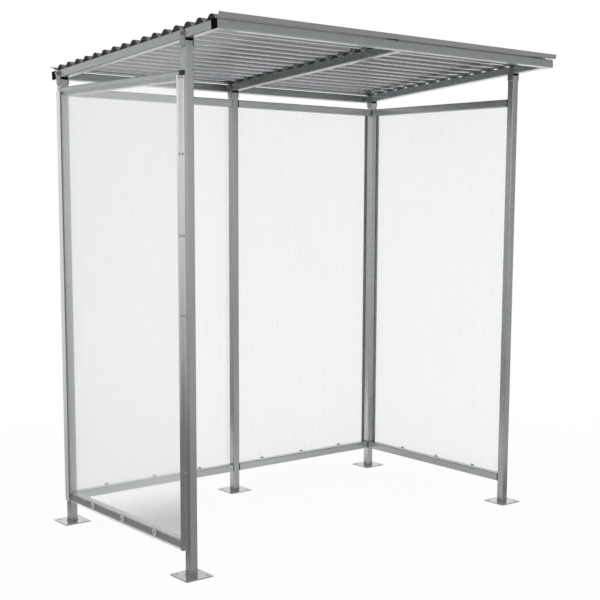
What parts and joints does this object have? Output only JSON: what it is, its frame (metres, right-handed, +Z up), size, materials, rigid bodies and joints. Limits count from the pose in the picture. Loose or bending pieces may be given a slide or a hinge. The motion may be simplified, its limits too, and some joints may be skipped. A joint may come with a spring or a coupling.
{
  "type": "smoking shelter",
  "caption": "Open-fronted smoking shelter: square steel tube frame, clear wall sheets on both sides and the back, corrugated roof falling to the rear, bolt-down feet.",
  "frame": {"origin": "ground level, under the middle of the whole shelter's footprint, roof edges included", "axes": "+Z up, +X to the right along the open front, +Y from the open front towards the back wall"},
  "size_m": [1.885, 1.2762, 2.0822],
  "materials": {
    "tube_steel": "galvanised square steel tube, semi-gloss mid grey with faint cloudy zinc grain",
    "plate_steel": "bright galvanised steel plate",
    "strip_steel": "bright folded galvanised strip",
    "fixing_steel": "zinc-plated flat straps and bolts",
    "roof_steel": "plain galvanised corrugated sheet, semi-gloss",
    "clear_sheet": "clear twin-wall plastic sheet with fine upright flutes, slightly milky, and a plain clear strip of the same plastic over the rear joint",
    "black_plastic": "black moulded plastic tube plugs, satin"
  },
  "bodies": {
    "root": {"post_front_left": "tube_steel", "base_plate_front_left": "plate_steel", "straps_front_left": "fixing_steel", "post_front_right": "tube_steel", "base_plate_front_right": "plate_steel", "straps_front_right": "fixing_steel", "post_rear_left": "tube_steel", "base_plate_rear_left": "plate_steel", "straps_rear_left": "fixing_steel", "post_rear_middle": "tube_steel", "base_plate_rear_middle": "plate_steel", "straps_rear_middle": "fixing_steel", "post_rear_right": "tube_steel", "base_plate_rear_right": "plate_steel", "straps_rear_right": "fixing_steel", "post_caps": "black_plastic", "rail_left_bottom": "tube_steel", "rail_right_bottom": "tube_steel", "rail_rear_left_bottom": "tube_steel", "rail_rear_right_bottom": "tube_steel", "rail_left_top": "tube_steel", "rail_right_top": "tube_steel", "rail_rear_left_top": "tube_steel", "rail_rear_right_top": "tube_steel", "rail_caps": "black_plastic", "beam_front": "tube_steel", "beam_rear": "tube_steel", "beam_caps": "black_plastic", "rafter_left": "tube_steel", "rafter_middle": "tube_steel", "rafter_right": "tube_steel", "rafter_bolts": "fixing_steel", "roof_sheet": "roof_steel", "wall_sheet_left": "clear_sheet", "wall_sheet_right": "clear_sheet", "wall_sheet_rear_left": "clear_sheet", "wall_sheet_rear_right": "clear_sheet", "edge_strip_left": "strip_steel", "edge_strip_right": "strip_steel", "corner_trim_left": "strip_steel", "corner_trim_right": "strip_steel", "cover_strip_rear": "clear_sheet", "strip_end_blocks": "black_plastic"}
  },
  "joints": []
}
